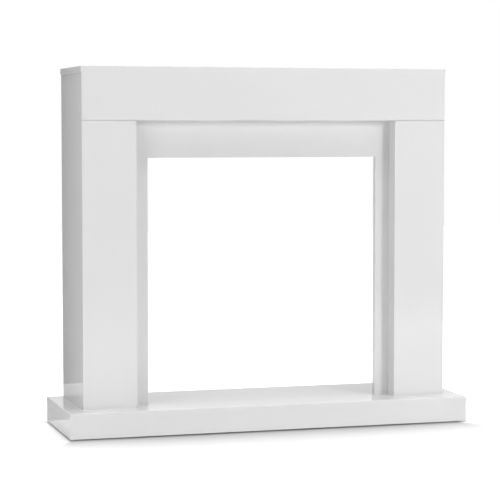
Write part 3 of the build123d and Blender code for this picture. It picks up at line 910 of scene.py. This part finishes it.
class SURROUND_OT_screws(Operator):
    """Threaded screws with cross recesses in the stiles and under the brackets"""

    bl_idname = "surround.screws"
    bl_label = "Screws"

    def execute(self, context):
        finishes, details, _ = settings(context)
        steel = metal(
            "screw_steel", finishes.steel_colour,
            dark=0.84, smooth=0.18, rough=0.30, scale=420.0, height=4.0,
        )
        self.stile_screws(details, steel)
        self.bracket_screws(details, steel)
        return {"FINISHED"}

    def alike(self, name, points, places, along, up, steel):
        """One piece of the same screw at several places."""
        shells = [closed_shell(placed(points, place, along, up)) for place in places]
        return surface_piece(name, joined_shells(shells), steel, CARCASS)

    def stile_screws(self, details, steel):
        """Rows of screws up both stiles, heads to the back, in place of the plain ones."""
        low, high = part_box("stile_screws")
        rim = details.screw_head
        heights = np.linspace(low.z + rim, high.z - rim, details.stile_screws)
        places = [(x, high.y, z) for x in (low.x + rim, high.x - rim) for z in heights]
        points = screw_shell(high.y - low.y, details)
        piece = self.alike("threaded_stile_screws", points, places, (0, -1, 0), (0, 0, 1), steel)
        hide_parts("stile_screws")

    def bracket_screws(self, details, steel):
        """Two screws up through each bracket, in place of the plain ones."""
        low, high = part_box("bracket_screws")
        rim = details.screw_head
        rows = (low.y + rim, high.y - rim)
        places = [(x, y, low.z) for x in (low.x + rim, high.x - rim) for y in rows]
        points = screw_shell(high.z - low.z, details)
        piece = self.alike("threaded_bracket_screws", points, places, (0, 0, 1), (1, 0, 0), steel)
        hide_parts("bracket_screws")


class SURROUND_OT_wall_brackets(Operator):
    """Bright plating on the wall brackets"""

    bl_idname = "surround.wall_brackets"
    bl_label = "Wall brackets"

    def execute(self, context):
        finishes, _, _ = settings(context)
        steel = metal(
            "bracket_steel", finishes.steel_colour,
            dark=0.82, smooth=0.24, rough=0.42, scale=120.0, height=6.0,
        )
        for bracket in BRACKETS:
            dress(bracket, steel)
        return {"FINISHED"}


class SURROUND_OT_floor_glides(Operator):
    """Moulded plastic on the floor glides"""

    bl_idname = "surround.floor_glides"
    bl_label = "Floor glides"

    def execute(self, context):
        finishes, _, _ = settings(context)
        dress("floor_glides", moulded_plastic(finishes))
        return {"FINISHED"}


class SURROUND_OT_stage(Operator):
    """Pale floor, soft studio light and the camera"""

    bl_idname = "surround.stage"
    bl_label = "Stage"

    def execute(self, context):
        _, _, stage = settings(context)
        context.scene.view_settings.view_transform = "Standard"
        self.floor(stage)
        self.grey_card(stage)
        self.shelf_net(stage)
        self.room(context.scene, stage)
        for lamp in LAMPS:
            parts = [getattr(stage, f"{lamp}_{part}") for part in ("place", "size", "power")]
            self.softbox(f"{lamp}_softbox", *parts)
        self.camera(context.scene, stage)
        return {"FINISHED"}

    def sheet(self, name, points, material, hidden_from=()):
        """Stage piece of one grid of points, hidden from some kinds of rays."""
        rows, columns, _ = points.shape
        faces = grid_faces(rows, columns, False).tolist()
        piece = mesh_object(name, points.reshape(-1, 3), faces, material)
        for kind in hidden_from:
            setattr(piece, f"visible_{kind}", False)

    def floor(self, stage):
        """Flat sheet: x and y run evenly over a square, and z is zero."""
        down, across = unit_grid(*FLOOR_GRID, False)
        x, y = FLOOR_HALF * (2 * across - 1), FLOOR_HALF * (2 * down - 1)
        points = np.stack([x, y, 0 * down], axis=-1)
        self.sheet("studio_floor", points, self.floor_material(stage))

    def floor_material(self, stage):
        """Matt floor that shows more white where it is seen, with a painted contact shadow at the
        hearth.
        """
        material, tree = blank(bpy.data.materials.new("studio_floor"))
        place = object_place(tree)
        shown = seen(tree)
        painted_shade = self.painted_contact_shadow(tree, place, stage)
        cloud = grain(tree, place, scale=1.2)
        base = stage.floor_colour
        even = colour_between(tree, cloud, shade(base, factor=0.99), shade(base, factor=1.01))
        # Painted shade: the seen floor's colour and its white are darkened round the hearth's foot
        colour = colour_between(tree, value_between(tree, shown, 1.0, painted_shade), BLACK, even)
        matt = add_node(tree, "ShaderNodeBsdfDiffuse", {"Color": colour})
        white = calc(tree, "MULTIPLY", shown, self.floor_white(tree, place, stage))
        lift = calc(tree, "MULTIPLY", white, painted_shade)
        glow = add_node(tree, "ShaderNodeEmission", {"Color": WHITE, "Strength": lift})
        both = {0: matt.outputs[0], 1: glow.outputs[0]}
        show(tree, add_node(tree, "ShaderNodeAddShader", both))
        return material

    def floor_white(self, tree, place, stage):
        """White that is added to the floor: least in an oval before the hearth, all far away. The
        oval is partly painted shade, greyer before the hearth, and partly real, as the floor's own
        lit shade and shadows show where less white is added.
        """
        off = vector_calc(tree, "SUBTRACT", place, stage.dim_place)
        ovals = length_of(tree, vector_calc(tree, "DIVIDE", off, stage.dim_reach))
        ends = (1.0, OVALS_TO_WHITE, stage.floor_lift, 1.0)
        return value_over(tree, ovals, *ends, interpolation_type="SMOOTHSTEP")

    def painted_contact_shadow(self, tree, place, stage):
        """Painted contact shadow: one on the open floor, falling off to the hearth's foot over its
        own reach each way.
        """
        axes = add_node(tree, "ShaderNodeSeparateXYZ", {0: place})
        before = calc(tree, "SUBTRACT", CAD_BOX[0].y, axes.outputs["Y"])
        behind = calc(tree, "SUBTRACT", axes.outputs["Y"], CAD_BOX[1].y)
        off = greatest(tree, [before, behind, 0.0])
        wider = calc(tree, "MULTIPLY", off, stage.contact_spread)
        near = calc(tree, "DIVIDE", before, stage.contact_low[1])
        far = calc(tree, "DIVIDE", behind, stage.contact_high[1])
        sideways = self.past_ends(tree, axes, wider, stage)
        ways = {"X": sideways, "Y": greatest(tree, [near, far, 0.0])}
        away = length_of(tree, add_node(tree, "ShaderNodeCombineXYZ", ways).outputs[0])
        fading = calc(tree, "POWER", math.exp(-1.0), away)
        return calc(tree, "SUBTRACT", 1.0, calc(tree, "MULTIPLY", fading, stage.contact_depth))

    def past_ends(self, tree, axes, wider, stage):
        """How many reaches a point lies past the left or the right end of the contact shadow."""
        left, right = CAD_BOX[0].x + stage.contact_stop[0], CAD_BOX[1].x - stage.contact_stop[1]
        below = calc(tree, "SUBTRACT", left, axes.outputs["X"])
        above = calc(tree, "SUBTRACT", axes.outputs["X"], right)
        low = calc(tree, "DIVIDE", below, calc(tree, "ADD", wider, stage.contact_low[0]))
        high = calc(tree, "DIVIDE", above, calc(tree, "ADD", wider, stage.contact_high[0]))
        return greatest(tree, [low, high, 0.0])

    def grey_card(self, stage):
        """Folded glowing sheet that only gloss shows, a painted reflection: it lies out towards
        the hearth, then stands up.
        """
        width, height = stage.card_size
        foot, lift = stage.card_foot
        down, across = unit_grid(*SHEET_GRID, False)
        along = foot * np.minimum(2 * down - 1, 0.0)
        rise = CARD_LIFT + height * np.maximum(2 * down - 1, 0.0)
        points = np.stack([width * (across - 0.5), along, rise], axis=-1)
        material, tree = blank(bpy.data.materials.new("grey_card"))
        axes = add_node(tree, "ShaderNodeSeparateXYZ", {0: object_place(tree)})
        lying = calc(tree, "LESS_THAN", axes.outputs["Z"], 2 * CARD_LIFT)
        # Painted reflection: the card glows at a grey that goes from its right to its left, and
        # brighter where it lies on the floor
        grey, ends = self.card_levels(tree, axes.outputs["X"], stage)
        standing = value_between(tree, ends, grey, 1.0)
        level = value_between(tree, lying, standing, calc(tree, "ADD", grey, lift))
        show(tree, add_node(tree, "ShaderNodeEmission", {"Color": WHITE, "Strength": level}))
        points = points + np.array(stage.card_place)
        self.sheet("grey_card", points, material, ("camera", "diffuse", "shadow"))

    def card_levels(self, tree, across, stage):
        """The card's glow, a painted reflection, from right to left, and where its two ends fade
        into the white room.
        """
        middle, half = stage.card_place[0], stage.card_fade / 2
        grey = value_over(tree, across, middle + half, middle - half, *stage.card_shades)
        off = calc(tree, "SUBTRACT", across, middle)
        out = add_node(tree, "ShaderNodeMath", {0: off}, operation="ABSOLUTE").outputs[0]
        return grey, value_over(tree, out, *[end * half for end in CARD_ENDS], 0.0, 1.0)

    def shelf_net(self, stage):
        """Flat net over the mantel that isn't seen and takes part of the light off its top."""
        low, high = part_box("mantel_top_board")
        down, across = unit_grid(*SHEET_GRID, False)
        x = low.x + (high.x - low.x) * across
        y = low.y + (high.y - low.y) * down
        points = np.stack([x, y, high.z + NET_HEIGHT + 0 * down], axis=-1)
        material, tree = blank(bpy.data.materials.new("shelf_net"))
        weave = grain(tree, object_place(tree), scale=NET_WEAVE)
        shades = [shade((stage.net_pass,) * 3, share) for share in NET_SHARES]
        tint = colour_between(tree, weave, *shades)
        show(tree, add_node(tree, "ShaderNodeBsdfTransparent", {"Color": tint}))
        hidden_from = ("camera", "diffuse", "glossy", "transmission")
        self.sheet("shelf_net", points, material, hidden_from)

    def room(self, scene, stage):
        """World: white where it is seen, and a soft room that is brighter in front and behind."""
        world, tree = blank(bpy.data.worlds.new("studio_room"))
        way = add_node(tree, "ShaderNodeTexCoord").outputs["Generated"]
        axes = add_node(tree, "ShaderNodeSeparateXYZ", {0: way})
        behind = calc(tree, "MAXIMUM", axes.outputs["Y"], 0.0)
        before = calc(tree, "SUBTRACT", behind, axes.outputs["Y"])
        back = calc(tree, "MULTIPLY", behind, stage.ambient_back)
        front = calc(tree, "MULTIPLY", before, stage.ambient_front)
        level = calc(tree, "ADD", calc(tree, "ADD", back, front), stage.ambient)
        white = value_between(tree, seen(tree), level, 1.0)
        light = add_node(tree, "ShaderNodeBackground", {"Color": WHITE, "Strength": white})
        add_node(tree, "ShaderNodeOutputWorld", {"Surface": light.outputs[0]})
        scene.world = world

    def softbox(self, name, place, size, power):
        """Softbox that gloss doesn't mirror, turned towards the middle of the surround."""
        lamp = bpy.data.lights.new(name, "AREA")
        lamp.shape = "RECTANGLE"
        lamp.size, lamp.size_y = size
        lamp.energy = power
        light = bpy.data.objects.new(name, lamp)
        light.location = place
        aim = (CAD_BOX[0] + CAD_BOX[1]) / 2 - Vector(place)
        light.rotation_euler = aim.to_track_quat("-Z", "Y").to_euler()
        light.visible_glossy = False
        bpy.context.scene.collection.objects.link(light)

    def camera(self, scene, stage):
        """Camera that is turned and dipped, and isn't rolled or shifted."""
        lens = bpy.data.cameras.new("camera")
        lens.sensor_width = SENSOR_WIDTH
        lens.lens = stage.camera_lens
        camera = bpy.data.objects.new("camera", lens)
        camera.location = stage.camera_place
        camera.rotation_euler = (math.pi / 2 - stage.camera_dip, 0.0, -stage.camera_turn)
        scene.collection.objects.link(camera)
        scene.camera = camera


OPERATORS = (
    SURROUND_OT_lacquered_boards,
    SURROUND_OT_bare_boards,
    SURROUND_OT_battens,
    SURROUND_OT_glue_beads,
    SURROUND_OT_cam_fittings,
    SURROUND_OT_screws,
    SURROUND_OT_wall_brackets,
    SURROUND_OT_floor_glides,
    SURROUND_OT_stage,
)
GROUPS = {
    "surround_finishes": SurroundFinishes,
    "surround_details": SurroundDetails,
    "surround_stage": SurroundStage,
}


class SURROUND_PT_build(Panel):
    """Lists the steps that dress the surround, with the values they use"""

    bl_idname = "SURROUND_PT_build"
    bl_label = "Fireplace surround"
    bl_space_type = "VIEW_3D"
    bl_region_type = "UI"
    bl_category = "Surround"

    def draw(self, context):
        for operator in OPERATORS:
            self.layout.operator(operator.bl_idname)
        for name in GROUPS:
            box = self.layout.box()
            group = getattr(context.scene, name)
            for key in group.__annotations__:
                box.prop(group, key)


CLASSES = (*GROUPS.values(), *OPERATORS, SURROUND_PT_build)


def register():
    """Registers the classes and hangs the property groups on the scene."""
    for cls in CLASSES:
        bpy.utils.register_class(cls)
    for name, group in GROUPS.items():
        setattr(bpy.types.Scene, name, PointerProperty(type=group))


def unregister():
    """Takes the property groups and the classes away again."""
    for name in GROUPS:
        delattr(bpy.types.Scene, name)
    for cls in reversed(CLASSES):
        bpy.utils.unregister_class(cls)


def main():
    """Runs every step in order."""
    register()
    for operator in OPERATORS:
        group, name = operator.bl_idname.split(".")
        getattr(getattr(bpy.ops, group), name)()


if __name__ == "__main__":
    main()
